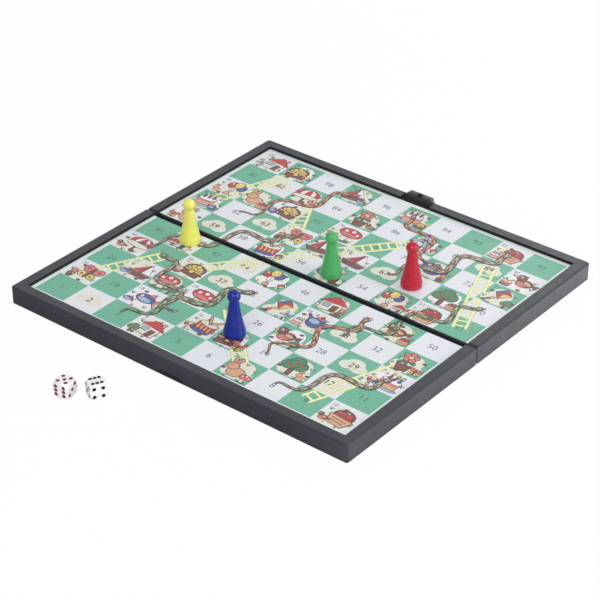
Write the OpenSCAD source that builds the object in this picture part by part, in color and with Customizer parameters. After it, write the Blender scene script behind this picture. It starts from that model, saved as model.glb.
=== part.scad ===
// Folding board-game box for travel. Two shallow trays lie open as one flat playing
// field and fold, fields outward, into a case that holds the pawns and dice.
// X runs along the seam, +Y points at the latch wall, +Z is up, and z = 0 is the table.
// The origin is the middle of the far half's seam wall, at the underside. The pieces are
// drawn about the middle of the seam, and placed() moves them to the origin.

/* [Case halves] */
// Length of the box along the seam
case_w = 200; // [170:1:260]
// Depth of the open box, from the near wall to the latch wall
open_d = 190; // [160:1:250]
// Height of a half from its parting edge to the top of its rim
wall_h = 9.5; // [9:0.1:13]
// Thickness of the outer walls
wall_t = 1.8; // [1.4:0.1:2.4]
// Width of the raised rim round the playing field
rim_w = 5.6; // [5:0.1:8]
// Thickness of the rim's top skin over its hollow underside
rim_skin = 1.5; // [1.2:0.1:2]
// Thickness of the step between the rim and the field
step_t = 1.4; // [1:0.1:1.6]
// Depth of the printed field below the rim
field_drop = 1.6; // [1:0.1:2.2]
// Thickness of the deck under the field
deck_t = 1.4; // [1:0.1:1.8]
// Thickness of the wall along the seam
seam_wall_t = 2.4; // [2.2:0.1:3]
// Gap between the halves, at the seam when open and at the parting edges when shut
parting_gap = 0.3; // [0.2:0.05:0.5]

/* [Edges] */
// Radius of the upright outer corners
corner_r = 1.4; // [1:0.1:3]
// Radius along the top edge of the outer walls
top_round = 0.8; // [0.3:0.1:1]
// Chamfer along the parting edge of the outer walls
parting_chamfer = 0.4; // [0.2:0.1:0.6]
// Radius along the top edges of the seam
seam_round = 1.5; // [0.8:0.1:1.8]
// Radius along the seam's edges at the bottom of the trench
trench_round = 1; // [0.5:0.1:1.2]
// Chamfer on the upright edges at the ends of the seam
seam_chamfer = 0.4; // [0.2:0.1:0.8]

/* [Playing field] */
// Thickness of the printed sheet
sheet_t = 0.4; // [0.2:0.05:0.6]
// Thickness of the steel sheet that holds the magnets
steel_t = 0.3; // [0.2:0.05:0.5]
// Clearance round the edges of both sheets
sheet_fit = 0.15; // [0.1:0.05:0.3]
// Width of the trench on each side of the seam
seam_band = 1.3; // [1.2:0.1:2]
// Depth of the trench below the printed sheet
trench_depth = 1.9; // [1.6:0.1:2.2]
// Unprinted border round the squares
print_margin = 2.2; // [1:0.1:4]
// Squares in one row
squares_across = 10; // [8:1:12]
// Rows of squares on one half
rows_per_half = 5; // [4:1:6]

/* [Hinge] */
// Height of the hinge pins above the underside, and radius of the seam's lower edges
axis_h = 1.7; // [1.6:0.1:2]
// Diameter of the hinge pins
pin_d = 1.2; // [1:0.1:1.3]
// Radial clearance of a link on its pins
pin_fit = 0.05; // [0.02:0.01:0.1]
// Half the thickness of a hinge link
link_r = 1.3; // [1.1:0.05:1.4]
// Length of a hinge link along the seam
link_l = 14; // [8:0.5:20]
// Clearance round a link in its pockets
link_play = 0.3; // [0.2:0.05:0.4]
// Distance from each end of the box to the middle of its hinge link
link_inset = 38; // [30:1:60]
// Length of the bearing on each side of a link
ear_l = 4; // [3:0.5:6]
// How far each lip of a pin's snap-in slot reaches in over the pin
snap_lip = 0.12; // [0.05:0.01:0.2]
// Thickness of the bearing block behind the link pocket
bearing_back = 1.6; // [1.2:0.1:2.4]

/* [Latch] */
// Width of the clasp's barrel
clasp_w = 17.2; // [12:0.2:24]
// How far the clasp's plate stands back from each end of the barrel
plate_inset = 1.4; // [0:0.1:2]
// Thickness of the clasp's plate
clasp_t = 1.6; // [1.2:0.1:2]
// Clearance between the clasp and the sides of its notch
clasp_play = 0.4; // [0.2:0.05:0.6]
// How far the folded-up clasp stands above the rim
clasp_proud = 1.9; // [0.4:0.1:2.4]
// Radius along the inner top edge of the clasp
clasp_round = 1; // [0.5:0.1:1.2]
// Radius of the clasp's two upper corners
clasp_corner = 1.2; // [0.5:0.1:1.6]
// Height of the hook nose
nose_t = 1.8; // [1.4:0.1:2.2]
// Chamfer on the outer edge of the hook nose
nose_chamfer = 0.3; // [0.1:0.05:0.6]
// Width of the slot in the plate's top, in front of the nose
slot_w = 3; // [1.6:0.2:4]
// Thickness of the nose's root under that slot
slot_web = 0.4; // [0.2:0.1:0.8]
// Distance of the clasp's pivot outside the latch wall
pivot_out = 0.6; // [0.5:0.05:1]
// Diameter of the latch pin
latch_pin_d = 1.4; // [1:0.1:1.5]
// Radius of the clasp's barrel
barrel_r = 1.5; // [1.3:0.05:1.6]
// Radius of the two pivot ears
latch_ear_r = 1.8; // [1.6:0.05:1.9]
// Length of a pivot ear
latch_ear_l = 3; // [2:0.5:5]
// Wall left between the notch and the playing field
notch_wall = 1.4; // [1:0.1:1.8]
// Height above the printed sheet at which that wall's thumb slope starts
thumb_lip = 0.4; // [0.2:0.1:0.8]
// How far the catch ridge stands out of the near wall
ridge_proud = 0.9; // [0.6:0.05:1]
// Height of the catch ridge's locking edge above the parting edge
ridge_h = 1.9; // [1.6:0.1:2.2]
// Height of the catch ridge's lower edge above the parting chamfer
ridge_rise = 0.1; // [0.05:0.05:0.4]
// How much further the clasp's plate reaches than the catch ridge at each end
ridge_inset = 0.4; // [0:0.1:1]
// Clearance between the hook nose, the ridge and the near wall
hook_play = 0.2; // [0.15:0.05:0.3]

/* [Pawns] */
// Height of a pawn
pawn_h = 24; // [18:0.5:30]
// Diameter of a pawn's foot
pawn_d = 10.4; // [9:0.2:12]
// Diameter of a pawn's head
head_d = 6.2; // [5.4:0.1:7]
// Diameter of a pawn's neck
neck_d = 4.5; // [3:0.1:5]
// Height of the upright rim round a pawn's foot
foot_h = 3; // [1.4:0.1:4]
// Radius on the lower edge of a pawn's foot
foot_round = 0.9; // [0.2:0.1:1.2]
// Width of the shoulder between a pawn's foot and its cone
shoulder_w = 0.35; // [0.05:0.05:0.5]
// Height of the shoulder between a pawn's foot and its cone
shoulder_h = 1.2; // [0.1:0.1:2]
// Diameter of a pawn where its cone bends up toward the neck
bend_d = 6.4; // [5:0.1:7]
// Height of the bend in a pawn's cone, as a share of the pawn's height
bend_share = 0.49; // [0.4:0.01:0.6]
// Diameter of the magnet in a pawn's foot
magnet_d = 6; // [4:0.5:7]
// Thickness of the magnet in a pawn's foot
magnet_t = 1.5; // [1:0.1:1.8]
// Yellow pawn: squares from the left border and squares from the seam, near half
yellow_spot = [1.57, 0.47]; // [0.4:0.01:9.6]
// Blue pawn: squares from the left border and squares from the seam, near half
blue_spot = [5.4, 3.35]; // [0.4:0.01:9.6]
// Green pawn: squares from the left border and squares from the seam, far half
green_spot = [5.52, 0.45]; // [0.4:0.01:9.6]
// Red pawn: squares from the left border and squares from the seam, far half
red_spot = [7.42, 1.41]; // [0.4:0.01:9.6]

/* [Dice] */
// Edge length of a die
die_size = 8; // [6:0.5:10]
// Radius of the ball that rounds a die's edges and corners, over half its edge length
die_rounding = 1.38; // [1.3:0.01:1.6]
// Distance between neighbouring pips
pip_pitch = 2.05; // [1.9:0.05:2.1]
// Diameter of a pip at the face
pip_d = 2; // [1:0.1:2]
// Depth of a pip
pip_depth = 0.3; // [0.2:0.05:0.5]
// Place of the red die: along the seam, and out from the near wall
red_die_place = [-27.7, 37.7]; // [-100:0.1:100]
// Turn of the red die
red_die_turn = 9.3; // [0:0.1:90]
// Place of the black die: along the seam, and out from the near wall
black_die_place = [-16.4, 29.6]; // [-100:0.1:100]
// Turn of the black die
black_die_turn = 61; // [0:0.1:90]

/* [Hidden] */
$fn = 64;

// Overrun of a cutting tool past the face that it cuts
cut = 1;

// Colours of the pieces
case_colour = [0.2, 0.2, 0.23];
clasp_colour = [0.3, 0.3, 0.33];
link_colour = [0.13, 0.13, 0.15];
pin_colour = [0.72, 0.73, 0.75];
steel_colour = [0.6, 0.62, 0.64];
print_colour = [0.45, 0.73, 0.63];
magnet_colour = [0.25, 0.25, 0.27];
die_colour = [0.93, 0.93, 0.91];

// Levels, upward from the table
field_top = wall_h - field_drop;
deck_top = field_top - sheet_t - steel_t;
deck_bottom = deck_top - deck_t;
trench_bottom = field_top - trench_depth;

// Middles of the deck, the rim's skin and the latch wall, which inner blocks reach to fuse with
deck_middle = deck_bottom + deck_t / 2;
skin_middle = wall_h - rim_skin / 2;
wall_middle = open_d / 2 - wall_t / 2;

// Places in plan, for a half with its outer wall toward +Y
half_w = case_w / 2;
seam_y = parting_gap / 2;
wall_y = open_d / 2;
field_x = half_w - rim_w;
field_y = wall_y - rim_w;
deck_y = seam_y + seam_band;
sheet_x = field_x - sheet_fit;
sheet_y0 = deck_y + sheet_fit;
sheet_y1 = field_y - sheet_fit;
hollow_x = half_w - wall_t;
hollow_y0 = seam_y + seam_wall_t;
hollow_y1 = wall_y - wall_t;

// Squares of the printed field
square_w = 2 * (sheet_x - print_margin) / squares_across;
square_d = (sheet_y1 - print_margin - sheet_y0) / rows_per_half;

// Hinge: the pins lie as far inside the seam face as they lie above the underside
axis_y = seam_y + axis_h;
link_x = half_w - link_inset;
pocket_y = axis_y + link_r + link_play;
bearing_y = pocket_y + bearing_back;
pin_l = link_l + 2 * ear_l;

// Distance from the middle of the seam to the origin, the middle of the seam wall's underside
origin_y = (axis_y + hollow_y0) / 2;

// Latch, folded up as it stands on the open box
notch_half = clasp_w / 2 + clasp_play;
notch_y = field_y + notch_wall;
nose_top = wall_h + clasp_proud;
pivot_y = wall_y + pivot_out;
pivot_z = (nose_top - nose_t - parting_gap - ridge_h - hook_play) / 2;
plate_half = clasp_w / 2 - plate_inset;
plate_y = 2 * pivot_y - wall_y - ridge_proud - hook_play;
plate_inner_y = plate_y - clasp_t;
nose_y = 2 * pivot_y - wall_y - hook_play;

// Place in plan of a spot given in squares from the left border and from the seam
function spot_x(spot) = spot[0] * square_w - (sheet_x - print_margin);
function spot_y(spot) = sheet_y0 + spot[1] * square_d;

// Pip places of each count, in steps of pip_pitch
pip_sets = [[],
            [[0, 0]],
            [[-1, -1], [1, 1]],
            [[-1, 1], [0, 0], [1, -1]],
            [[-1, -1], [-1, 1], [1, -1], [1, 1]],
            [[-1, -1], [-1, 1], [0, 0], [1, -1], [1, 1]],
            [[-1, -1], [-1, 0], [-1, 1], [1, -1], [1, 0], [1, 1]]];
// Turns that bring the top to each face: top, bottom, front, back, right, left
face_turns = [[0, 0, 0], [180, 0, 0], [90, 0, 0], [-90, 0, 0], [0, 90, 0], [0, -90, 0]];

// A rod along X with its middle at x
module rod(x, y, z, length, radius)
  translate([x - length / 2, y, z]) rotate([0, 90, 0]) cylinder(r = radius, h = length);

// A block given by its low and high corners
module block(low, high) translate(low) cube(high - low);

// Upright section of a half from its middle to an outer wall, with its edges finished
module wall_outline(reach) {
  far_out = reach + cut;
  slope = parting_chamfer + cut;
  difference() {
    square([reach, wall_h]);
    translate([reach - top_round, wall_h - top_round]) difference() {
      square(top_round + cut);
      circle(top_round);
    }
    polygon([[reach - slope, -cut], [far_out, -cut], [far_out, slope]]);
  }
}

// Solid of a half before it is hollowed
module case_blank() {
  post_x = half_w - corner_r;
  post_y = wall_y - corner_r;
  translate([-post_x, 0, 0]) rotate([90, 0, 90]) linear_extrude(2 * post_x) intersection() {
    wall_outline(wall_y);
    translate([seam_y, 0]) square([wall_y, wall_h]);
  }
  translate([0, post_y, 0]) rotate([90, 0, 0]) linear_extrude(post_y - seam_y)
    for (side = [0, 1]) mirror([side, 0]) wall_outline(half_w);
  for (side = [-1, 1]) translate([side * post_x, post_y, 0])
    rotate_extrude() wall_outline(corner_r);
}

// Recess for the field's two sheets, with the deeper trench beside the seam
module field_recess() {
  block([-field_x, seam_y - cut, trench_bottom], [field_x, deck_y, wall_h + cut]);
  block([-field_x, deck_y - cut, deck_top], [field_x, field_y, wall_h + cut]);
}

// Storage space under the deck, and the hollow under the rim on three sides
module underside_hollow() {
  step_x = field_x + step_t;
  step_y = field_y + step_t;
  rim_under = wall_h - rim_skin;
  block([-hollow_x, hollow_y0, -cut], [hollow_x, hollow_y1, deck_bottom]);
  for (side = [0, 1]) mirror([side, 0, 0])
    block([step_x, hollow_y0, 0], [hollow_x, hollow_y1, rim_under]);
  block([-hollow_x, step_y, 0], [hollow_x, hollow_y1, rim_under]);
}

// Cutter that rounds a top edge along the seam
module seam_round_cut(top, reach, radius) {
  difference() {
    block([-reach, seam_y - cut, top - radius], [reach, seam_y + radius, top + cut]);
    rod(0, seam_y + radius, top - radius, 2 * reach + cut, radius);
  }
}

// Cutter that rounds the lower edge along the seam about the hinge axis
module seam_lower_cut() {
  difference() {
    block([-half_w - cut, seam_y - cut, -cut], [half_w + cut, axis_y, axis_h]);
    rod(0, axis_y, axis_h, case_w + 3 * cut, axis_h);
  }
}

// Cutter for the chamfer on the upright edge at each end of the seam
module seam_end_cut() {
  slope = seam_chamfer + cut;
  for (side = [0, 1]) mirror([side, 0, 0]) translate([0, 0, -cut])
    linear_extrude(wall_h + 2 * cut)
      polygon([[half_w - slope, seam_y - cut], [half_w + cut, seam_y - cut],
               [half_w + cut, seam_y + slope]]);
}

// Solid blocks that carry the hinge pins
module hinge_bearings() {
  for (side = [-1, 1]) translate([side * link_x, 0, 0])
    block([-pin_l / 2, seam_y, 0], [pin_l / 2, bearing_y, deck_middle]);
}

// Link pockets, pin bores, and the slots through which the pins snap in from below
module hinge_cuts() {
  pocket_half = link_l / 2 + link_play;
  slot_half = pin_d / 2 - snap_lip;
  for (side = [-1, 1]) translate([side * link_x, 0, 0]) {
    block([-pocket_half, seam_y - cut, -cut],
          [pocket_half, pocket_y, axis_h + link_r + link_play]);
    rod(0, axis_y, axis_h, pin_l, pin_d / 2);
    block([-pin_l / 2, axis_y - slot_half, -cut], [pin_l / 2, axis_y + slot_half, axis_h]);
  }
}

// A half with all that both halves share, outer wall toward +Y
module case_half() {
  difference() {
    union() {
      difference() {
        case_blank();
        field_recess();
        underside_hollow();
      }
      hinge_bearings();
      children();
    }
    seam_round_cut(wall_h, half_w + cut, seam_round);
    seam_round_cut(trench_bottom, field_x, trench_round);
    seam_lower_cut();
    seam_end_cut();
    hinge_cuts();
  }
}

// Block in the latch wall round the clasp's notch, with the two pivot ears outside
module latch_block() {
  block_half = notch_half + latch_ear_l;
  block([-block_half, field_y, 0], [block_half, wall_middle, skin_middle]);
  for (side = [-1, 1]) translate([side * (notch_half + latch_ear_l / 2), 0, 0]) {
    rod(0, pivot_y, pivot_z, latch_ear_l, latch_ear_r);
    block([-latch_ear_l / 2, hollow_y1, pivot_z - latch_ear_r],
          [latch_ear_l / 2, pivot_y, pivot_z + latch_ear_r]);
  }
}

// Cutter for the slope in front of the notch, where a thumb reaches the clasp
module thumb_slope_cut() {
  slope_low = field_top + thumb_lip;
  translate([-notch_half, 0, 0]) rotate([90, 0, 90]) linear_extrude(2 * notch_half)
    polygon([[field_y - cut, slope_low], [field_y, slope_low], [notch_y, wall_h],
             [notch_y, wall_h + cut], [field_y - cut, wall_h + cut]]);
}

// Ridge on the near wall that the hook nose reaches under when the box is shut
module catch_ridge() {
  ridge_low = parting_chamfer + ridge_rise;
  ridge_half = plate_half - ridge_inset;
  ridge_y = wall_y + ridge_proud;
  translate([-ridge_half, 0, 0]) rotate([90, 0, 90]) linear_extrude(2 * ridge_half)
    polygon([[wall_middle, ridge_low], [wall_y, ridge_low], [ridge_y, (ridge_low + ridge_h) / 2],
             [ridge_y, ridge_h], [wall_middle, ridge_h]]);
}

module case_far() {
  color(case_colour) difference() {
    case_half() latch_block();
    block([-notch_half, notch_y, -cut], [notch_half, pivot_y + latch_ear_r + cut, wall_h + cut]);
    thumb_slope_cut();
    rod(0, pivot_y, pivot_z, 2 * (notch_half + latch_ear_l + cut), latch_pin_d / 2);
  }
}

module case_near() {
  color(case_colour) mirror([0, 1, 0]) case_half() catch_ridge();
}

// The steel sheet lies on the deck, and the printed sheet on the steel
module steel_sheet()
  color(steel_colour)
    block([-sheet_x, sheet_y0, deck_top], [sheet_x, sheet_y1, deck_top + steel_t]);

module play_sheet()
  color(print_colour)
    block([-sheet_x, sheet_y0, deck_top + steel_t], [sheet_x, sheet_y1, field_top]);

// Link with a pin bore at each end, the middle at x
module hinge_link(x) {
  color(link_colour) difference() {
    union() {
      for (side = [-1, 1]) rod(x, side * axis_y, axis_h, link_l, link_r);
      block([x - link_l / 2, -axis_y, axis_h - link_r], [x + link_l / 2, axis_y, axis_h + link_r]);
    }
    for (side = [-1, 1]) rod(x, side * axis_y, axis_h, link_l + 2 * cut, pin_d / 2 + pin_fit);
  }
}

module hinge_pin(x, y) color(pin_colour) rod(x, y, axis_h, pin_l, pin_d / 2);

// Cutter that rounds the clasp's inner top edge and its two upper corners
module clasp_edge_cut() {
  reach = plate_half + cut;
  difference() {
    block([-reach, plate_inner_y - cut, nose_top - clasp_round],
          [reach, plate_inner_y + clasp_round, nose_top + cut]);
    rod(0, plate_inner_y + clasp_round, nose_top - clasp_round, 2 * reach + cut, clasp_round);
  }
  for (side = [0, 1]) mirror([side, 0, 0])
    translate([plate_half - clasp_corner, nose_y + cut, nose_top - clasp_corner]) rotate([90, 0, 0])
      linear_extrude(nose_y - plate_inner_y + 2 * cut) difference() {
        square(clasp_corner + cut);
        circle(clasp_corner);
      }
}

// Clasp folded up in its notch, its nose pointing outward
module latch_clasp() {
  web_half = barrel_r / 2;
  plate_middle = plate_y - clasp_t / 2;
  color(clasp_colour) difference() {
    union() {
      rod(0, pivot_y, pivot_z, clasp_w, barrel_r);
      block([-plate_half, plate_inner_y, pivot_z - web_half], [plate_half, plate_y, nose_top]);
      block([-plate_half, plate_middle, pivot_z - web_half], [plate_half, pivot_y, pivot_z + web_half]);
      translate([-plate_half, 0, nose_top - nose_t]) rotate([90, 0, 90]) linear_extrude(2 * plate_half)
        polygon([[plate_middle, 0], [nose_y, 0], [nose_y, nose_t - nose_chamfer],
                 [nose_y - nose_chamfer, nose_t], [plate_middle, nose_t]]);
    }
    clasp_edge_cut();
    block([-slot_w / 2, plate_inner_y - cut, nose_top - nose_t + slot_web],
          [slot_w / 2, plate_y, nose_top + cut]);
    rod(0, pivot_y, pivot_z, clasp_w + 2 * cut, latch_pin_d / 2 + pin_fit);
  }
}

module latch_pin()
  color(pin_colour) rod(0, pivot_y, pivot_z, 2 * (notch_half + latch_ear_l), latch_pin_d / 2);

// Half outline of a pawn, from its axis outward
module pawn_outline() {
  head_r = head_d / 2;
  foot_r = pawn_d / 2;
  head_z = pawn_h - head_r;
  neck_z = head_z - sqrt(head_r * head_r - neck_d * neck_d / 4);
  union() {
    intersection() {
      translate([0, head_z]) circle(head_r);
      translate([0, head_z - head_r]) square([head_r, head_d]);
    }
    square([foot_r - foot_round, foot_h]);
    intersection() {
      translate([foot_r - foot_round, foot_round]) circle(foot_round);
      square([foot_r, foot_h]);
    }
    polygon([[0, foot_round], [foot_r, foot_round], [foot_r, foot_h],
             [foot_r - shoulder_w, foot_h + shoulder_h], [bend_d / 2, bend_share * pawn_h],
             [neck_d / 2, neck_z], [0, head_z]]);
  }
}

module pawn(colour) {
  color(colour) difference() {
    rotate_extrude() pawn_outline();
    translate([0, 0, -cut]) cylinder(d = magnet_d, h = magnet_t + cut);
  }
}

module magnet() color(magnet_colour) cylinder(d = magnet_d, h = magnet_t);

// Puts what follows on a spot of the printed field, side +1 far half and -1 near half
module on_field(spot, side)
  translate([spot_x(spot), side * spot_y(spot), field_top]) children();

// Cutter for the pips of one count, on the face at the top
module pips(count) {
  ball_r = (pip_d * pip_d / 4 + pip_depth * pip_depth) / (2 * pip_depth);
  for (place = pip_sets[count])
    translate([place[0] * pip_pitch, place[1] * pip_pitch, die_size / 2 - pip_depth + ball_r])
      sphere(ball_r, $fn = 32);
}

// Die on the table: counts are top, bottom, front, back, right, left
module die(place, turn, counts, top_turn) {
  color(die_colour) translate([place[0], -wall_y - place[1], die_size / 2])
    rotate([0, 0, turn]) difference() {
      intersection() {
        cube(die_size, center = true);
        sphere(die_rounding * die_size / 2);
      }
      for (face = [0:5]) rotate(face_turns[face])
        rotate([0, 0, face == 0 ? top_turn : 0]) pips(counts[face]);
    }
}

// Moves a piece from the middle of the seam to the origin
module placed() translate([0, -origin_y, 0]) children();

placed() case_far();
placed() case_near();
placed() steel_sheet();  // steel_sheet_far
placed() mirror([0, 1, 0]) steel_sheet();  // steel_sheet_near
placed() play_sheet();  // play_sheet_far
placed() mirror([0, 1, 0]) play_sheet();  // play_sheet_near
placed() hinge_link(-link_x);  // hinge_link_left
placed() hinge_link(link_x);  // hinge_link_right
placed() hinge_pin(-link_x, axis_y);  // hinge_pin_far_left
placed() hinge_pin(link_x, axis_y);  // hinge_pin_far_right
placed() hinge_pin(-link_x, -axis_y);  // hinge_pin_near_left
placed() hinge_pin(link_x, -axis_y);  // hinge_pin_near_right
placed() latch_clasp();
placed() latch_pin();
placed() on_field(yellow_spot, -1) pawn([0.88, 0.88, 0.3]);  // pawn_yellow
placed() on_field(green_spot, 1) pawn([0.2, 0.6, 0.35]);  // pawn_green
placed() on_field(red_spot, 1) pawn([0.75, 0.15, 0.22]);  // pawn_red
placed() on_field(blue_spot, -1) pawn([0.12, 0.2, 0.55]);  // pawn_blue
placed() on_field(yellow_spot, -1) magnet();  // magnet_yellow
placed() on_field(green_spot, 1) magnet();  // magnet_green
placed() on_field(red_spot, 1) magnet();  // magnet_red
placed() on_field(blue_spot, -1) magnet();  // magnet_blue
placed() die(red_die_place, red_die_turn, [5, 2, 6, 1, 3, 4], 0);  // die_red
placed() die(black_die_place, black_die_turn, [6, 1, 4, 3, 2, 5], 90);  // die_black
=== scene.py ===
"""Dresses a folding snakes-and-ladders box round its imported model."""
import math

import bmesh
import bpy
from mathutils import Matrix, Vector


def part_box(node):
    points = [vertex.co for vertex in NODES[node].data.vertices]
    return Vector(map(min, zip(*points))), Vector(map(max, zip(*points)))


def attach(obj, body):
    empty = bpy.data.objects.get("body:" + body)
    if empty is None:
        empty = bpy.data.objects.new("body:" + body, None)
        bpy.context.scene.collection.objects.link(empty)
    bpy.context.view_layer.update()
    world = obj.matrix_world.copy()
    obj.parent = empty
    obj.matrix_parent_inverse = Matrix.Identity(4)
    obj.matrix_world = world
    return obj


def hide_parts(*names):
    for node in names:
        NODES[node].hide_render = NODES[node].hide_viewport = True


bl_info = {
    "name": "Folding Board-Game Box",
    "version": (1, 0, 0),
    "blender": (4, 5, 0),
    "location": "View3D > Sidebar > Game Box",
    "description": "Finishes a folding snakes-and-ladders box with print, pawns, dice and studio",
    "category": "Object",
}

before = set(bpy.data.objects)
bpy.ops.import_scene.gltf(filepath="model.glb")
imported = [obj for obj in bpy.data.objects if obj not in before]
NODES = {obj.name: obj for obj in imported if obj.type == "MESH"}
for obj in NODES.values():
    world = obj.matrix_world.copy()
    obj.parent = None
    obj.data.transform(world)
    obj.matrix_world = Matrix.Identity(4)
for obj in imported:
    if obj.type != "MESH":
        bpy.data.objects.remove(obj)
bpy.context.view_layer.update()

MM = 0.001
TINY = 1e-7                # metres below which two points are one
COLUMNS = 10
ROWS = 10
ROWS_PER_HALF = ROWS // 2


# ---------------------------------------------------------------- settings

def srgb(*levels):
    """Linear colour of a display colour given from 0 to 255."""
    def linear(value):
        """One level from 0 to 1, after the standard curve."""
        return value / 12.92 if value <= 0.04045 else ((value + 0.055) / 1.055) ** 2.4
    return tuple(linear(level / 255) for level in levels)


def colour(name, words, *levels):
    """A colour setting with its default given from 0 to 255."""
    return bpy.props.FloatVectorProperty(
        name=name, description=words, subtype="COLOR", size=3, min=0, max=1, default=srgb(*levels))


def length(name, words, millimetres):
    """A length setting with its default given in millimetres."""
    return bpy.props.FloatProperty(
        name=name, description=words, subtype="DISTANCE", unit="LENGTH", min=0,
        default=millimetres * MM, precision=6)


def share(name, words, value):
    """A setting from 0 to 1."""
    return bpy.props.FloatProperty(
        name=name, description=words, subtype="FACTOR", min=0, max=1, default=value)


def bearing(name, words, degrees):
    """An angle setting with its default given in degrees."""
    return bpy.props.FloatProperty(
        name=name, description=words, subtype="ANGLE", default=math.radians(degrees))


class CaseSettings(bpy.types.PropertyGroup):
    """The halves, the clasp, the hinge, the steel and the magnets"""
    plastic: colour("Case plastic", "Colour of the two moulded halves", 43, 46, 55)
    clasp: colour("Clasp plastic", "Colour of the latch clasp", 84, 84, 90)
    link: colour("Link plastic", "Colour of the hinge links", 38, 38, 41)
    steel: colour("Steel", "Colour of the pins and the sheet under the print", 176, 179, 184)
    ferrite: colour("Magnet", "Colour of the magnets in the pawns' feet", 62, 62, 66)
    roughness: share("Plastic roughness", "Roughness of the halves' moulded skin", 0.36)
    grain: length("Grain", "Size of the mould's spark-eroded grain", 0.45)
    # Painted shade: the plastic round the printed sheet, up to just below the rim's top, is painted
    # darker and made matt.
    well_edge: length("Well edge", "Width of the matt plastic round the printed sheet", 0.3)
    well_lip: length("Well lip", "Depth below the rim at which the matt plastic starts", 0.05)
    clasp_play: length("Clasp play", "Clearance between the clasp and the sides of its notch", 0.4)
    plate_inset: length("Plate inset", "Part of the clasp's barrel that its plate leaves free", 1.4)
    plate_thickness: length("Plate thickness", "Thickness of the clasp's plate", 1.6)
    barrel: length("Barrel", "Diameter of the clasp's barrel", 3)
    shoulder_drop: length("Shoulder drop", "Depth of the shoulders' inner ends below the top", 0.8)
    shoulder_slope: length("Shoulder slope", "Fall of the shoulders to their outer ends", 0.9)
    shoulder_round: length("Shoulder radius", "Radius of the shoulders' edges", 0.25)
    # Painted shade: the box of the clasp's slot is painted darker and made matt.
    slot: length("Slot", "Width of the slot in the clasp's plate", 3)
    slot_depth: length("Slot depth", "Depth of that slot", 1.4)


class PrintSettings(bpy.types.PropertyGroup):
    """The printed field"""
    margin: length("Margin", "Width of the bare border on the three outer sides", 2.2)
    # Painted shade: the far sheet's edge along the seam is a dark strip that widens the shade of
    # the seam.
    seam_edge: length("Seam edge", "Width of the dark edge of the far sheet along the seam", 0.8)
    step: length("Ink step", "Height of one patch of ink above the one below it", 0.003)
    depth: length("Ink depth", "How far the ink reaches into the sheet", 0.03)
    digit: length("Digit height", "Height of a number in the middle of a square", 3.6)
    picture: length("Picture size", "Half the width of a square's picture", 8.0)
    rail_gap: length("Rail gap", "Distance between the two rails of a ladder", 6.0)
    rail: length("Rail width", "Width of a ladder's rail", 1.1)
    rung_pitch: length("Rung pitch", "Distance between a ladder's rungs", 4.2)
    snake_width: length("Snake width", "Width of a snake behind its head", 2.5)
    swing: length("Snake swing", "How far a snake winds to each side", 5.4)
    green: colour("Green square", "Ink of the green squares", 106, 178, 150)
    paper: colour("White square", "Ink of the white squares", 226, 229, 235)
    border: colour("Border", "Bare border round the squares", 236, 245, 244)
    # Colour of that painted shade along the seam.
    seam_ink: colour("Seam ink", "Dark edge of the far sheet along the seam", 40, 42, 48)
    digit_dark: colour("Number on white", "Ink of a number on a white square", 92, 92, 118)
    digit_green: colour("Number on green", "Ink of a number on a green square", 46, 112, 92)
    outline: colour("Outline", "Ink of the pictures' outlines", 74, 58, 62)
    white: colour("White", "White ink of the pictures", 236, 232, 236)
    cream: colour("Cream", "Cream ink of the pictures", 224, 223, 208)
    red: colour("Red", "Red ink of the pictures", 190, 66, 70)
    rose: colour("Rose", "Rose ink of the pictures", 206, 124, 122)
    brown: colour("Brown", "Brown ink of the pictures", 124, 78, 66)
    tan: colour("Tan", "Tan ink of the pictures", 216, 168, 132)
    gold: colour("Gold", "Yellow ink of the pictures", 226, 204, 112)
    leaf: colour("Leaf", "Leaf-green ink of the pictures", 74, 132, 96)
    blue: colour("Blue", "Blue ink of the pictures", 82, 92, 150)
    sky: colour("Sky", "Pale blue ink of the pictures", 160, 184, 212)
    ladder: colour("Ladder", "Ink of the ladders", 240, 240, 186)
    ladder_edge: colour("Ladder edge", "Ink of the ladders' edges", 186, 190, 122)
    snake: colour("Snake", "Ink of the snakes' backs", 118, 106, 94)
    snake_band: colour("Snake band", "Ink of the snakes' bands", 192, 180, 148)
    snake_edge: colour("Snake edge", "Ink of the snakes' edges", 62, 50, 48)
    russet: colour("Russet", "Russet ink of some snakes' backs", 138, 84, 72)
    moss: colour("Moss", "Moss ink of some snakes' backs", 88, 104, 82)
    moss_band: colour("Moss band", "Ink of the bands on the moss snakes", 170, 182, 132)


class PawnSettings(bpy.types.PropertyGroup):
    """The four pawns"""
    yellow: colour("Yellow pawn", "Plastic of the yellow pawn", 238, 236, 110)
    green: colour("Green pawn", "Plastic of the green pawn", 76, 173, 98)
    red: colour("Red pawn", "Plastic of the red pawn", 190, 26, 54)
    blue: colour("Blue pawn", "Plastic of the blue pawn", 4, 35, 139)
    roughness: share("Pawn roughness", "Roughness of the pawns' polished skin", 0.27)
    head: length("Head diameter", "Diameter of a pawn's head", 6.2)
    neck: length("Neck diameter", "Diameter of a pawn's neck", 4.5)
    foot: length("Foot height", "Height of the upright rim of a pawn's foot", 3)
    foot_round: length("Foot radius", "Radius of a foot's lower edge", 0.9)
    shoulder: length("Shoulder width", "Width of the soft shoulder above a pawn's foot", 0.35)
    shoulder_height: length("Shoulder height", "Height of the shoulder above a pawn's foot", 1.2)
    bend: length("Bend diameter", "Diameter where a pawn's cone bends up toward the neck", 6.4)
    bend_share: share("Bend height", "Height of that bend, as a share of a pawn's height", 0.49)


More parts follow.
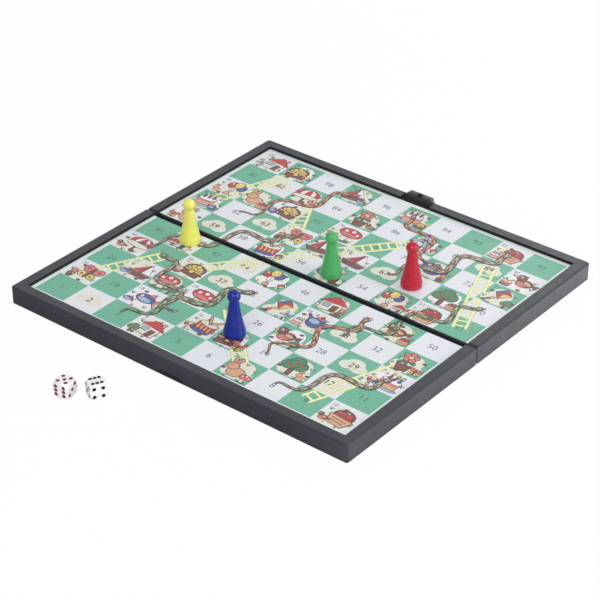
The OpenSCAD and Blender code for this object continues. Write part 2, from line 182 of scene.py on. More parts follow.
class DiceSettings(bpy.types.PropertyGroup):
    """The two dice"""
    plastic: colour("Dice plastic", "Plastic of the dice", 240, 238, 238)
    red: colour("Red pips", "Paint of the red die's pips", 118, 30, 54)
    black: colour("Black pips", "Paint of the black die's pips", 24, 26, 30)
    pitch: length("Pip pitch", "Distance between neighbouring pips", 2.05)
    pip: length("Pip diameter", "Diameter of a pip at the face", 2)
    hollow: length("Pip depth", "Depth of a pip", 0.3)
    paint: length("Paint thickness", "Thickness of the paint in a pip", 0.03)


class StageSettings(bpy.types.PropertyGroup):
    """The camera, the floor and the light"""
    azimuth: bearing("Azimuth", "Direction that the camera looks from", 38.82)
    elevation: bearing("Elevation", "Height of the camera above the horizon", 32.37)
    roll: bearing("Roll", "Turn of the camera about its view", 0.14)
    lens: bpy.props.FloatProperty(
        name="Lens", description="Focal length", subtype="DISTANCE_CAMERA", default=119.7)
    place: bpy.props.FloatVectorProperty(
        name="Camera place", description="Place of the camera", subtype="XYZ", unit="LENGTH",
        default=(0.50383, -0.6309, 0.5056), precision=5)
    floor: colour("Floor", "Colour of the floor", 250, 250, 250)
    # Painted shade in reflections: the colour of the floor that the plastic mirrors, except beyond
    # the box's right side.
    floor_front: colour("Floor in front", "Colour of the floor's front in a mirror", 194, 194, 200)
    veil: share("Floor veil", "Share of the floor's own shade that the camera sees", 0.04)
    ambient: share("Ambient light", "Light of the plain studio round the object", 0.45)


# ---------------------------------------------------------------- finishes

# Values between which most of a noise lies
NOISE_LOW, NOISE_HIGH = 0.3, 0.7


class Nodes:
    """Builds the nodes of one tree. A term is a number, a colour or another node's output."""

    def __init__(self, tree):
        self.tree = tree

    def plug(self, socket, term):
        """Gives one input its term."""
        if isinstance(term, bpy.types.NodeSocket):
            self.tree.links.new(term, socket)
        elif socket.type == "RGBA":
            socket.default_value = (*term, 1)
        else:
            socket.default_value = term

    def feed(self, node, **terms):
        """Gives a node's inputs their terms; a name has _ for a space, as in Coat_Weight."""
        for name, term in terms.items():
            self.plug(node.inputs[name.replace("_", " ")], term)

    def node(self, kind, **terms):
        """A new shader node with its terms."""
        node = self.tree.nodes.new("ShaderNode" + kind)
        self.feed(node, **terms)
        return node

    def math(self, operation, *terms):
        """The result of a math node."""
        node = self.node("Math")
        node.operation = operation
        for socket, term in zip(node.inputs, terms):
            self.plug(socket, term)
        return node.outputs[0]

    def spread(self, value, low, high, start=NOISE_LOW, end=NOISE_HIGH):
        """A value, from start to end, spread over low to high."""
        node = self.node("MapRange", Value=value, From_Min=start, From_Max=end, To_Min=low,
                         To_Max=high)
        return node.outputs["Result"]

    def blend(self, factor, first, second):
        """A mix of two colours."""
        node = self.node("Mix")
        node.data_type = "RGBA"
        sockets = [socket for socket in node.inputs if socket.type == "RGBA"]
        for socket, term in zip(sockets, (first, second)):
            self.plug(socket, term)
        self.feed(node, Factor=factor)
        return next(socket for socket in node.outputs if socket.type == "RGBA")

    def between(self, value, low, high):
        """1 where a value lies between low and high, and 0 elsewhere."""
        return self.math("MULTIPLY", self.math("GREATER_THAN", value, low),
                         self.math("LESS_THAN", value, high))


class Finish(Nodes):
    """A procedural material on Object coordinates, built round one Principled shader."""

    def __init__(self, name, base, roughness):
        self.material = bpy.data.materials.new(name)
        self.material.use_nodes = True
        super().__init__(self.material.node_tree)
        self.shader = self.tree.nodes["Principled BSDF"]
        self.set(Base_Color=base, Roughness=roughness)
        self.place = self.node("TexCoord").outputs["Object"]

    def set(self, **terms):
        """Gives the shader's inputs their terms."""
        self.feed(self.shader, **terms)

    def axes(self):
        """The X, Y and Z of the place on the object."""
        return self.node("SeparateXYZ", Vector=self.place).outputs

    def noise(self, size, detail=2.0, stretch=(1, 1, 1)):
        """Noise whose lumps are about size metres, and longer along a stretched axis."""
        mapping = self.node("Mapping", Scale=[1 / (size * pull) for pull in stretch],
                            Vector=self.place)
        node = self.node("TexNoise", Scale=1, Detail=detail, Vector=mapping.outputs["Vector"])
        return node.outputs["Fac"]

    def inside(self, low, high):
        """1 inside a box and 0 outside it."""
        x, y, z = (self.between(*limits) for limits in zip(self.axes(), low, high))
        return self.math("MULTIPLY", self.math("MULTIPLY", x, y), z)

    def mottled(self, noise, base, dark, pale):
        """A colour that noise varies from a darker to a paler shade of its base."""
        return self.blend(self.spread(noise, 0, 1), shade(base, dark), shade(base, pale))

    def bump(self, height, distance, strength=1.0):
        """Raises the surface where height is 1 by a distance."""
        node = self.node("Bump", Distance=distance, Strength=strength, Height=height)
        self.set(Normal=node.outputs["Normal"])


def shade(base, factor):
    """A colour made lighter or darker."""
    return tuple(min(1.0, level * factor) for level in base)


def moulded_plastic(name, base, roughness, grain, scuffs=0.0, shaded_boxes=()):
    """Injection-moulded plastic with the mould's grain, cloudy gloss and faint rubbed streaks.

    Each box given, a low and a high corner, is painted darker as shade, and its plastic made matt.
    """
    finish = Finish(name, base, roughness)
    tone = finish.mottled(finish.noise(28 * MM, detail=3), base, 0.9, 1.12)
    streaks = finish.noise(1.6 * MM, detail=3, stretch=(14, 1.6, 1))
    rubbed = finish.spread(streaks, 0, scuffs, start=0.58, end=0.78)
    tone = finish.blend(rubbed, tone, shade(base, 2.1))
    gloss = finish.spread(finish.noise(6 * MM, detail=3), roughness - 0.06, roughness + 0.07)
    gloss = finish.math("ADD", gloss, finish.math("MULTIPLY", rubbed, 0.25))
    # Painted shade: inside each box the plastic is darkened to three tenths of its colour and made
    # rougher.
    for low, high in shaded_boxes:
        inside = finish.inside(low, high)
        tone = finish.blend(inside, tone, shade(base, 0.3))
        gloss = finish.math("ADD", gloss, finish.math("MULTIPLY", inside, 0.6))
    finish.bump(finish.noise(grain), 0.05 * grain, strength=0.6)
    finish.set(Base_Color=tone, Roughness=gloss, IOR=1.52)
    return finish.material


def polished_plastic(name, base, roughness):
    """Polished plastic with a slight depth of colour and soft sink marks."""
    finish = Finish(name, base, roughness)
    tone = finish.mottled(finish.noise(6 * MM), base, 0.94, 1.05)
    gloss = finish.spread(finish.noise(2.2 * MM, detail=3), roughness - 0.04, roughness + 0.05)
    finish.bump(finish.noise(4 * MM), 0.01 * MM, strength=0.4)
    finish.set(Base_Color=tone, Roughness=gloss, IOR=1.5)
    return finish.material


def drawn_steel(name, base, stretch):
    """Bare steel with the fine lines of drawing or rolling."""
    finish = Finish(name, base, 0.32)
    lines = finish.noise(0.4 * MM, detail=3, stretch=stretch)
    finish.bump(lines, 0.006 * MM, strength=0.5)
    finish.set(Base_Color=finish.mottled(lines, base, 0.82, 1.1),
               Roughness=finish.spread(lines, 0.24, 0.42), Metallic=1.0)
    return finish.material


def sintered(name, base):
    """Dark sintered ferrite with an open grain."""
    finish = Finish(name, base, 0.6)
    grain = finish.noise(0.3 * MM, detail=4)
    finish.bump(grain, 0.03 * MM)
    finish.set(Base_Color=finish.mottled(grain, base, 0.7, 1.35), Metallic=0.3)
    return finish.material


def laminate(finish):
    """Gives a printed sheet its clear film, slightly uneven over the steel."""
    ripple = finish.math("MULTIPLY", finish.noise(35 * MM), 12.0)
    height = finish.math("ADD", ripple, finish.noise(0.6 * MM))
    finish.bump(height, 0.0035 * MM, strength=0.8)
    finish.set(Roughness=finish.spread(finish.noise(9 * MM, detail=3), 0.42, 0.56),
               IOR=1.48, Coat_Weight=0.3, Coat_Roughness=0.22)
    return finish.material


def inked(finish, tint):
    """Breaks a flat tint into the faint mottle of offset ink."""
    mottle = finish.spread(finish.noise(1.1 * MM, detail=4), 0.955, 1.035)
    node = finish.node("VectorMath")
    node.operation = "SCALE"
    finish.plug(node.inputs[0], tint)
    finish.feed(node, Scale=mottle)
    finish.set(Base_Color=node.outputs["Vector"])


# ---------------------------------------------------------------- the printed field

class Half:
    """One half's printed sheet: where its squares lie, and the body that it rides on."""

    def __init__(self, node, body, first_row, settings):
        low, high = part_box(node)
        self.node = node
        self.body = body
        self.first_row = first_row
        self.top = high.z
        self.left = low.x + settings.margin
        self.square_w = (high.x - low.x - 2 * settings.margin) / COLUMNS
        self.square_d = (high.y - low.y - settings.margin) / ROWS_PER_HALF
        is_far = first_row > 0
        self.away = 1 if is_far else -1      # along Y, from the seam
        self.seam = low.y if is_far else high.y
        self.seam_edge = settings.seam_edge if is_far else 0
        self.bottom = self.seam - (ROWS_PER_HALF - first_row) * self.square_d


def halves(settings):
    """The far and the near half of the field."""
    return (Half("play_sheet_far", "far_half", ROWS_PER_HALF, settings),
            Half("play_sheet_near", "near_half", 0, settings))


def chequered_sheet(half, settings):
    """Laminated paper printed with one half's green and white squares inside a bare border."""
    finish = Finish("print_" + half.body, settings.paper, 0.5)
    x, y, _ = finish.axes()
    across = finish.math("DIVIDE", finish.math("SUBTRACT", x, half.left), half.square_w)
    along = finish.math("DIVIDE", finish.math("SUBTRACT", y, half.bottom), half.square_d)
    square = finish.math("ADD", finish.math("FLOOR", across), finish.math("FLOOR", along))
    odd = finish.math("FLOORED_MODULO", finish.math("ADD", square, half.first_row), 2.0)
    squares = finish.blend(odd, settings.green, settings.paper)
    printed = finish.math("MULTIPLY", finish.between(across, 0, COLUMNS),
                          finish.between(along, 0, ROWS_PER_HALF))
    tint = finish.blend(printed, settings.border, squares)
    # Painted shade: a dark strip along the far sheet's seam edge, widening the seam's shade.
    if half.seam_edge:
        clear = finish.math("GREATER_THAN", y, half.seam + half.seam_edge)
        tint = finish.blend(clear, settings.seam_ink, tint)
    inked(finish, tint)
    return laminate(finish)


def ink_material():
    """The inks of the pictures, whose colour each patch carries in its own attribute."""
    finish = Finish("picture_inks", (0.5, 0.5, 0.5), 0.5)
    node = finish.node("Attribute")
    node.attribute_name = "ink"
    inked(finish, node.outputs["Color"])
    return laminate(finish)


INKS = ("digit_dark", "digit_green", "outline", "white", "cream", "red", "rose", "brown", "tan",
        "gold", "leaf", "blue", "sky", "ladder", "ladder_edge", "snake", "snake_band",
        "snake_edge", "russet", "moss", "moss_band")

DISC_SIDES = 18
BAR_SIDES = 4
RIM = 0.05                 # width of a drawing's dark rims, in its own units
SNAKE_RIM = 0.14           # the same on a snake's head
CORNER_RIM = 1.5           # how much further a polygon's rim reaches at its corners
DIRECTION_STEP = 0.002     # share of a ribbon's path from which its direction is taken


class Press:
    """Lays flat patches of ink on the whole picture, each a step above the one before.

    The picture's plane has its middle at the middle of the seam. self.at places a drawing in it.
    """

    def __init__(self, first_layer, settings):
        self.settings = settings
        self.halves = halves(settings)
        self.square = (self.halves[0].square_w, self.halves[0].square_d)
        self.first_layer = first_layer
        self.layer = first_layer
        self.rim = RIM
        self.bm = bmesh.new()
        self.matrix = Matrix()

    def spot(self, column, row):
        """Place in the picture of a point given in squares from its near left corner."""
        return Vector(((column - COLUMNS / 2) * self.square[0],
                       (row - ROWS_PER_HALF) * self.square[1], 0))

    def place(self, column, row, size, turn=0.0):
        """Puts what is drawn next at a place, in units of size metres and turned by degrees."""
        self.matrix = (Matrix.Translation(self.spot(column, row))
                       @ Matrix.Rotation(math.radians(turn), 4, "Z") @ Matrix.Scale(size, 4))

    def at(self, column, row, size):
        """Starts a drawing at a place, with its first layer at the bottom."""
        self.place(column, row, size)
        self.layer = self.first_layer

    def lay(self, verts, ink):
        """Gives the faces of new vertices their ink and their height."""
        lift = self.layer * self.settings.step
        for vert in verts:
            vert.co = self.matrix @ vert.co
            vert.co.z = lift
        number = INKS.index(ink)
        for face in {face for vert in verts for face in vert.link_faces}:
            face.material_index = number
        self.layer += 1

    def patch(self, ink, x, y, width, height, turn, sides, rim):
        """A rectangle or an ellipse, after its number of sides, with its dark rim."""
        reach, start = (math.sqrt(2), math.pi / 4) if sides == BAR_SIDES else (1, 0)
        place = Matrix.Translation((x, y, 0)) @ Matrix.Rotation(math.radians(turn), 4, "Z")
        layers = [("outline", 2 * self.rim)] if rim else []
        for layer_ink, extra in (*layers, (ink, 0)):
            scale = Matrix.Diagonal(
                ((width + extra) * reach / 2, (height + extra) * reach / 2, 1, 1))
            made = bmesh.ops.create_circle(
                self.bm, cap_ends=True, segments=sides, radius=1,
                matrix=place @ scale @ Matrix.Rotation(start, 4, "Z"))
            self.lay(made["verts"], layer_ink)

    def disc(self, ink, x, y, width, height=None, turn=0.0, rim=True):
        """An ellipse with its dark rim."""
        self.patch(ink, x, y, width, height or width, turn, DISC_SIDES, rim)

    def bar(self, ink, x, y, width, height, turn=0.0, rim=True):
        """A rectangle with its dark rim."""
        self.patch(ink, x, y, width, height, turn, BAR_SIDES, rim)

    def shape(self, ink, points, rim=True):
        """A polygon given by its corners, with its dark rim."""
        corners = [Vector((*point, 0)) for point in points]
        if rim:
            middle = sum(corners, Vector()) / len(corners)
            reach = sum((corner - middle).length for corner in corners) / len(corners)
            grown = 1 + CORNER_RIM * self.rim / reach
            self.face("outline", [middle + (corner - middle) * grown for corner in corners])
        self.face(ink, corners)

    def face(self, ink, corners):
        """One face of ink."""
        verts = [self.bm.verts.new(corner) for corner in corners]
        self.bm.faces.new(verts)
        self.lay(verts, ink)

    def ribbon(self, ink, path, width, steps, across=1, banded=None):
        """A band along path(t), width(t) wide, with t from 0 to 1.

        banded(i, j) may give another ink to the face in step i and strip j.
        """
        verts = bmesh.ops.create_grid(
            self.bm, x_segments=steps, y_segments=across, size=0.5)["verts"]
        cells = {}
        for face in {face for vert in verts for face in vert.link_faces}:
            middle = face.calc_center_median()
            cells[face] = (int((middle.x + 0.5) * steps), int((middle.y + 0.5) * across))
        for vert in verts:
            along, side = vert.co.x + 0.5, vert.co.y * 2
            ahead = path(min(1, along + DIRECTION_STEP)) - path(max(0, along - DIRECTION_STEP))
            normal = Vector((-ahead.y, ahead.x, 0)).normalized()
            vert.co = path(along) + normal * side * width(along) / 2
        self.lay(verts, ink)
        if banded:
            for face, cell in cells.items():
                face.material_index = INKS.index(banded(*cell))

    def finish(self, name, material):
        """Cuts the picture at the seam and sinks each part into its own half's sheet."""
        for half in self.halves:
            bm = self.bm.copy()
            bmesh.ops.bisect_plane(
                bm, geom=whole(bm), dist=TINY, plane_co=(0, half.away * half.seam_edge, 0),
                plane_no=(0, half.away, 0), clear_inner=True)
            sunk = bmesh.ops.extrude_face_region(bm, geom=bm.faces[:])
            for vert in verts_of(sunk):
                vert.co.z = -self.settings.depth
            bmesh.ops.recalc_face_normals(bm, faces=bm.faces[:])
            bmesh.ops.translate(bm, verts=bm.verts[:], vec=(0, half.seam, half.top))
            paint_faces(bm, self.settings)
            new_piece(name + "_" + half.body, bm, material, half.body)
        self.bm.free()


def paint_faces(bm, settings):
    """Turns each face's ink number into its colour attribute."""
    inks = [(*getattr(settings, ink), 1) for ink in INKS]
    layer = bm.loops.layers.float_color.new("ink")
    for face in bm.faces:
        for loop in face.loops:
            loop[layer] = inks[face.material_index]
        face.material_index = 0


# ---------------------------------------------------------------- meshes and pieces

def whole(bm):
    """All of a mesh, for an operator."""
    return bm.verts[:] + bm.edges[:] + bm.faces[:]


def verts_of(made):
    """The vertices among what an operator made."""
    return [part for part in made["geom"] if isinstance(part, bmesh.types.BMVert)]


def new_piece(name, bm, material, body, smooth=False):
    """Makes an object of a bmesh, on its CAD body and with its material slot."""
    for face in bm.faces:
        face.smooth = smooth
    mesh = bpy.data.meshes.new(name)
    bm.to_mesh(mesh)
    bm.free()
    mesh.materials.append(material)
    piece = bpy.data.objects.new(name, mesh)
    bpy.context.scene.collection.objects.link(piece)
    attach(piece, body)
    return piece


def smooth_by_angle(piece, degrees):
    """Marks the edges that are sharper than an angle, so that the rest shade smooth."""
    bm = bmesh.new()
    bm.from_mesh(piece.data)
    for edge in bm.edges:
        edge.smooth = edge.calc_face_angle(0) < math.radians(degrees)
    bm.to_mesh(piece.data)
    bm.free()


def dress(names, material):
    """Gives CAD nodes one finish."""
    for name in names:
        slots = NODES[name].data.materials
        slots.clear()
        slots.append(material)


def square_of(number):
    """Column and row of a number, whose rows run right and left by turns from the near left."""
    row, place = divmod(number - 1, COLUMNS)
    return (place if row % 2 == 0 else COLUMNS - 1 - place, row)


# ---------------------------------------------------------------- drawings
# Each lies within 1 unit of its middle.

def draw_house(art):
    art.bar("tan", 0.4, 0.55, 0.18, 0.5)
    art.bar("cream", 0, -0.3, 1.3, 0.9)
    art.shape("red", [(-0.9, 0.1), (0.9, 0.1), (0, 0.85)])
    art.bar("brown", 0.3, -0.45, 0.32, 0.6)
    art.bar("sky", -0.3, -0.22, 0.36, 0.32)


def draw_tree(art):
    art.bar("brown", 0, -0.55, 0.26, 0.7)
    art.disc("leaf", -0.35, 0.1, 0.85)
    art.disc("leaf", 0.38, 0.12, 0.8)
    art.disc("leaf", 0, 0.45, 0.9)
    for x, y in ((-0.4, 0.1), (0.35, 0.2), (0, 0.5), (-0.05, 0.0)):
        art.disc("red", x, y, 0.2, rim=False)


def draw_boat(art):
    art.disc("sky", 0, -0.62, 1.8, 0.34, rim=False)
    art.shape("brown", [(-0.85, -0.25), (0.85, -0.25), (0.55, -0.7), (-0.55, -0.7)])
    art.bar("brown", 0, 0.25, 0.08, 1.0)
    art.shape("white", [(0.08, -0.15), (0.75, -0.15), (0.08, 0.85)])
    art.shape("red", [(-0.08, -0.15), (-0.08, 0.65), (-0.62, -0.15)])


def draw_kite(art):
    for x, y, ink in ((-0.35, -0.55, "red"), (-0.6, -0.75, "blue"), (-0.15, -0.35, "gold")):
        art.disc(ink, x, y, 0.26, 0.14, 30)
    art.shape("red", [(0.15, -0.3), (0.75, 0.3), (0.3, 0.85), (-0.25, 0.35)])
    art.shape("gold", [(0.15, -0.3), (0.75, 0.3), (0.25, 0.3)], rim=False)
    art.shape("blue", [(0.3, 0.85), (-0.25, 0.35), (0.25, 0.3)], rim=False)


def draw_toadstool(art):
    art.disc("leaf", 0, -0.75, 1.2, 0.3)
    art.bar("cream", 0, -0.3, 0.42, 0.9)
    art.disc("red", 0, 0.25, 1.6, 0.95)
    art.disc("rose", 0, 0.02, 1.3, 0.32, rim=False)
    for x, y, size in ((-0.42, 0.35, 0.24), (0.05, 0.5, 0.28), (0.48, 0.3, 0.22)):
        art.disc("white", x, y, size, rim=False)


def draw_fish(art):
    art.shape("rose", [(0.4, 0), (0.95, 0.45), (0.8, 0), (0.95, -0.45)])
    art.disc("blue", -0.1, 0, 1.35, 0.8)
    art.disc("sky", -0.1, -0.14, 1.0, 0.38, rim=False)
    art.shape("rose", [(-0.2, 0.36), (0.3, 0.34), (0.15, 0.68)])
    art.disc("white", -0.5, 0.1, 0.22)
    art.disc("outline", -0.52, 0.1, 0.09, rim=False)


def draw_flowerpot(art):
    art.bar("leaf", 0, -0.05, 0.1, 0.7)
    art.disc("leaf", -0.3, -0.05, 0.5, 0.22, 35)
    art.disc("leaf", 0.3, 0.05, 0.5, 0.22, -35)
    art.shape("brown", [(-0.45, -0.3), (0.45, -0.3), (0.3, -0.9), (-0.3, -0.9)])
    for turn in range(0, 360, 72):
        angle = math.radians(turn + 18)
        art.disc("rose", 0.3 * math.cos(angle), 0.5 + 0.3 * math.sin(angle), 0.36)
    art.disc("gold", 0, 0.5, 0.3)


def draw_cake(art):
    art.disc("sky", 0, -0.62, 1.7, 0.4)
    art.bar("tan", 0, -0.25, 1.2, 0.7)
    art.bar("rose", 0, -0.2, 1.2, 0.16, rim=False)
    art.disc("white", 0, 0.14, 1.25, 0.44)
    for x in (-0.35, 0, 0.35):
        art.bar("blue", x, 0.42, 0.08, 0.36)
        art.disc("gold", x, 0.7, 0.14, 0.22)


def draw_umbrella(art):
    art.bar("brown", 0.04, -0.35, 0.09, 0.95)
    art.disc("brown", 0.18, -0.8, 0.34, 0.24)
    art.disc("red", 0, 0.25, 1.7, 1.1)
    art.disc("white", 0, 0.25, 1.0, 1.08, rim=False)
    art.disc("red", 0, 0.25, 0.45, 1.08, rim=False)
    art.disc("cream", 0, -0.08, 1.75, 0.42)


def draw_drum(art):
    art.bar("red", 0, -0.2, 1.3, 0.85)
    for x in (-0.42, -0.14, 0.14, 0.42):
        art.bar("gold", x, -0.2, 0.08, 0.8, 14, rim=False)
    art.disc("blue", 0, -0.62, 1.3, 0.3)
    art.disc("cream", 0, 0.25, 1.3, 0.45)
    art.bar("tan", -0.25, 0.62, 0.09, 0.8, 35)
    art.bar("tan", 0.3, 0.6, 0.09, 0.8, -40)


def draw_bird(art):
    art.shape("brown", [(0.35, 0), (0.95, 0.2), (0.9, -0.2)])
    art.disc("brown", 0.05, -0.1, 1.1, 0.8, 12)
    art.disc("rose", -0.1, -0.25, 0.75, 0.45, rim=False)
    art.disc("brown", -0.45, 0.35, 0.6)
    art.shape("gold", [(-0.7, 0.4), (-0.7, 0.22), (-0.98, 0.28)])
    art.disc("white", -0.5, 0.42, 0.18)
    art.disc("outline", -0.52, 0.42, 0.08, rim=False)
    art.disc("tan", 0.2, 0.0, 0.6, 0.3, -20)
    for x in (-0.1, 0.2):
        art.bar("gold", x, -0.65, 0.06, 0.35, rim=False)


def draw_teapot(art):
    art.disc("blue", 0.62, 0.0, 0.6, 0.55)
    art.disc("white", 0.62, 0.0, 0.3, 0.28, rim=False)
    art.shape("blue", [(-0.5, -0.1), (-0.95, 0.4), (-0.8, 0.45), (-0.35, 0.15)])
    art.disc("blue", 0, -0.1, 1.2, 1.0)
    art.disc("sky", -0.15, 0.0, 0.7, 0.45, rim=False)
    art.disc("rose", 0, 0.42, 0.6, 0.2)
    art.disc("red", 0, 0.58, 0.2)


def draw_balloons(art):
    for x, y, ink in ((-0.4, 0.3, "red"), (0.38, 0.32, "blue"), (0.0, 0.55, "gold")):
        lean = math.degrees(math.atan2(-x, y + 0.7))
        art.bar("outline", x / 2, y / 2 - 0.35, 0.04, 0.95, lean, rim=False)
        art.disc(ink, x, y, 0.58, 0.7)
        art.disc("white", x - 0.1, y + 0.14, 0.12, 0.2, 20, rim=False)
    art.disc("tan", 0, -0.75, 0.36, 0.3)


def draw_butterfly(art):
    for side in (-1, 1):
        art.disc("rose", 0.42 * side, 0.35, 0.75, 0.6, 35 * side)
        art.disc("gold", 0.36 * side, -0.3, 0.55, 0.5, -30 * side)
        art.disc("red", 0.45 * side, 0.38, 0.3, 0.24, rim=False)
        art.disc("brown", 0.36 * side, -0.32, 0.2, rim=False)
    art.disc("brown", 0, 0, 0.2, 1.2)


def draw_basket(art):
    art.disc("brown", 0, 0.1, 1.3, 1.1)
    art.disc("cream", 0, 0.1, 1.0, 0.85, rim=False)
    for x, y in ((-0.35, 0.0), (0.05, 0.1), (0.4, -0.02), (-0.15, 0.25), (0.24, 0.28)):
        art.disc("red", x, y, 0.4)
    art.shape("tan", [(-0.75, -0.08), (0.75, -0.08), (0.5, -0.8), (-0.5, -0.8)])
    for y in (-0.3, -0.54):
        art.bar("brown", 0, y, 1.1 + y * 0.4, 0.07, rim=False)


def draw_chest(art):
    art.bar("brown", 0, -0.35, 1.4, 0.8)
    art.disc("brown", 0, 0.1, 1.4, 0.8)
    art.disc("gold", 0, 0.06, 1.15, 0.5)
    for x, y in ((-0.3, 0.2), (0.25, 0.18), (0, 0.32)):
        art.disc("gold", x, y, 0.3)
    art.bar("tan", 0, -0.2, 1.4, 0.14)
    art.bar("gold", 0, -0.32, 0.26, 0.32)


def draw_hare(art):
    art.disc("tan", 0.1, -0.35, 1.1, 0.85)
    art.disc("white", 0.68, -0.4, 0.3)
    for x, turn in ((-0.48, 12), (-0.22, -14)):
        art.disc("tan", x, 0.62, 0.22, 0.62, turn)
        art.disc("rose", x, 0.62, 0.09, 0.4, turn, rim=False)
    art.disc("tan", -0.35, 0.12, 0.72, 0.6)
    art.disc("outline", -0.48, 0.18, 0.1, rim=False)
    art.disc("rose", -0.68, 0.06, 0.12, rim=False)


def draw_windmill(art):
    art.shape("cream", [(-0.3, 0.2), (0.3, 0.2), (0.48, -0.9), (-0.48, -0.9)])
    art.bar("blue", 0, -0.66, 0.24, 0.42)
    art.disc("red", 0, 0.25, 0.7, 0.5)
    for turn in (20, 110, 200, 290):
        angle = math.radians(turn)
        art.bar("sky", 0.42 * math.cos(angle), 0.3 + 0.42 * math.sin(angle), 0.72, 0.2, turn)
    art.disc("brown", 0, 0.3, 0.18)


def draw_cloud(art):
    art.disc("cream", -0.4, -0.1, 1.0, 0.8, rim=False)
    art.disc("cream", 0.4, -0.15, 1.1, 0.8, rim=False)
    art.disc("cream", 0.0, 0.2, 1.2, 0.9, rim=False)


def draw_ground(art, number):
    """A pale patch with tufts, flowers and pebbles, strewn by the square's number."""
    lean = (number * 0.37) % 1 - 0.5
    pale = "cream" if number % 3 else "white"
    art.disc(pale, 0.1 * lean, -0.35, 2.1, 1.1, 20 * lean, rim=False)
    art.disc(pale, 0.3 * lean, 0.25, 1.5, 1.3, rim=False)
    level = art.layer
    for place in range(7):
        angle = number * 2.4 + place * 0.9
        x, y = 0.98 * math.cos(angle), 0.82 * math.sin(angle) - 0.1
        art.layer = level
        kind = (number + place) % 4
        if kind == 0:
            art.disc(("rose", "gold", "sky")[(number + place) % 3], x, y, 0.2, rim=False)
            art.disc("red", x, y, 0.08, rim=False)
        elif kind == 1:
            art.disc("brown", x, y, 0.2, 0.12, 40 * lean)
        else:
            for turn in (-28, 0, 28):
                art.layer = level
                art.bar("leaf", x + turn * 0.003, y, 0.05, 0.26, -turn, rim=False)


# Pictures: what is drawn, what stands beside it, and its square's number
PICTURES = (
    (draw_house, draw_tree, 4), (draw_hare, draw_toadstool, 7), (draw_basket, draw_bird, 10),
    (draw_tree, draw_hare, 13), (draw_drum, draw_balloons, 16), (draw_fish, draw_fish, 18),
    (draw_butterfly, draw_flowerpot, 20), (draw_boat, draw_fish, 22),
    (draw_toadstool, draw_hare, 24), (draw_bird, draw_tree, 27), (draw_cake, draw_balloons, 30),
    (draw_flowerpot, draw_butterfly, 31), (draw_teapot, draw_cake, 34),
    (draw_kite, draw_windmill, 35), (draw_chest, draw_drum, 38), (draw_umbrella, draw_bird, 40),
    (draw_windmill, draw_house, 42), (draw_balloons, draw_kite, 45),
    (draw_house, draw_flowerpot, 47), (draw_bird, draw_basket, 49),
    (draw_basket, draw_umbrella, 52), (draw_fish, draw_boat, 55), (draw_drum, draw_kite, 57),
    (draw_hare, draw_butterfly, 60), (draw_cake, draw_teapot, 61),
    (draw_butterfly, draw_flowerpot, 64), (draw_boat, draw_bird, 66), (draw_tree, draw_basket, 69),
    (draw_kite, draw_tree, 71), (draw_teapot, draw_flowerpot, 73),
    (draw_toadstool, draw_butterfly, 76), (draw_chest, draw_teapot, 78),
    (draw_balloons, draw_hare, 80), (draw_umbrella, draw_toadstool, 83),
    (draw_flowerpot, draw_bird, 85), (draw_windmill, draw_kite, 87), (draw_bird, draw_drum, 90),
    (draw_basket, draw_cake, 92), (draw_cake, draw_chest, 95), (draw_boat, draw_fish, 97),
    (draw_chest, draw_balloons, 99), (draw_house, draw_windmill, 100),
    (draw_chest, draw_butterfly, 15), (draw_toadstool, draw_tree, 23),
    (draw_balloons, draw_house, 53), (draw_boat, draw_kite, 65), (draw_hare, draw_basket, 79),
)

# Squares that hold a pale cloud and no picture
CLOUDS = (2, 12, 29, 33, 37, 44, 59, 63, 67, 82, 89)

# Ladders: foot and top in squares from the near left corner
LADDERS = (
    ((2.45, 3.4), (6.45, 8.6)), ((8.45, 0.55), (9.5, 3.5)), ((0.5, 6.5), (1.45, 9.4)),
    ((6.55, 0.5), (4.55, 2.55)), ((9.5, 5.5), (8.5, 8.5)), ((0.55, 1.5), (1.5, 3.45)),
    ((3.5, 6.5), (2.55, 8.5)),
)

# Snakes: head and tail in squares from the near left corner, turns of their winding, its first
# side, their girth as a share of the usual, and the inks of back and bands
SNAKES = (
    ((8.5, 9.4), (6.6, 6.5), 2.2, 1, 1.1, "snake", "snake_band"),
    ((3.45, 9.45), (1.5, 6.55), 2.0, -1, 0.75, "russet", "tan"),
    ((3.4, 6.35), (0.5, 3.6), 2.4, 1, 0.95, "snake", "snake_band"),
    ((9.4, 6.6), (7.45, 3.4), 2.6, -1, 0.85, "moss", "moss_band"),
    ((7.5, 4.4), (6.5, 1.5), 2.0, 1, 0.8, "russet", "tan"),
    ((4.4, 3.5), (2.5, 0.6), 2.2, -1, 1.15, "moss", "moss_band"),
    ((9.5, 2.5), (7.5, 0.6), 1.6, 1, 0.9, "snake", "snake_band"),
    ((5.4, 9.5), (7.5, 7.5), 1.7, -1, 0.75, "russet", "tan"),
    ((1.5, 3.5), (3.5, 1.5), 1.8, 1, 0.8, "snake", "snake_band"),
)

# Squares that hold a picture
BUSY = {number for _, _, number in PICTURES}

# Places in a square, in squares from its near left corner or from its middle
GROUND_HEIGHT = 0.47
PICTURE_SHIFT = 0.1
PICTURE_LEAN = 6           # degrees
BESIDE_SHIFT = 0.3
BESIDE_HEIGHT = 0.24
BESIDE_SIZE = 0.5          # as a share of the picture's
CORNER = (0.15, 0.84)      # a number beside a picture
CORNER_SIZE = 0.62         # as a share of a number in the middle

RUNG = 0.8                 # width of a rung, as a share of a rail's
LADDER_EDGE = 0.45         # what the edges add to it

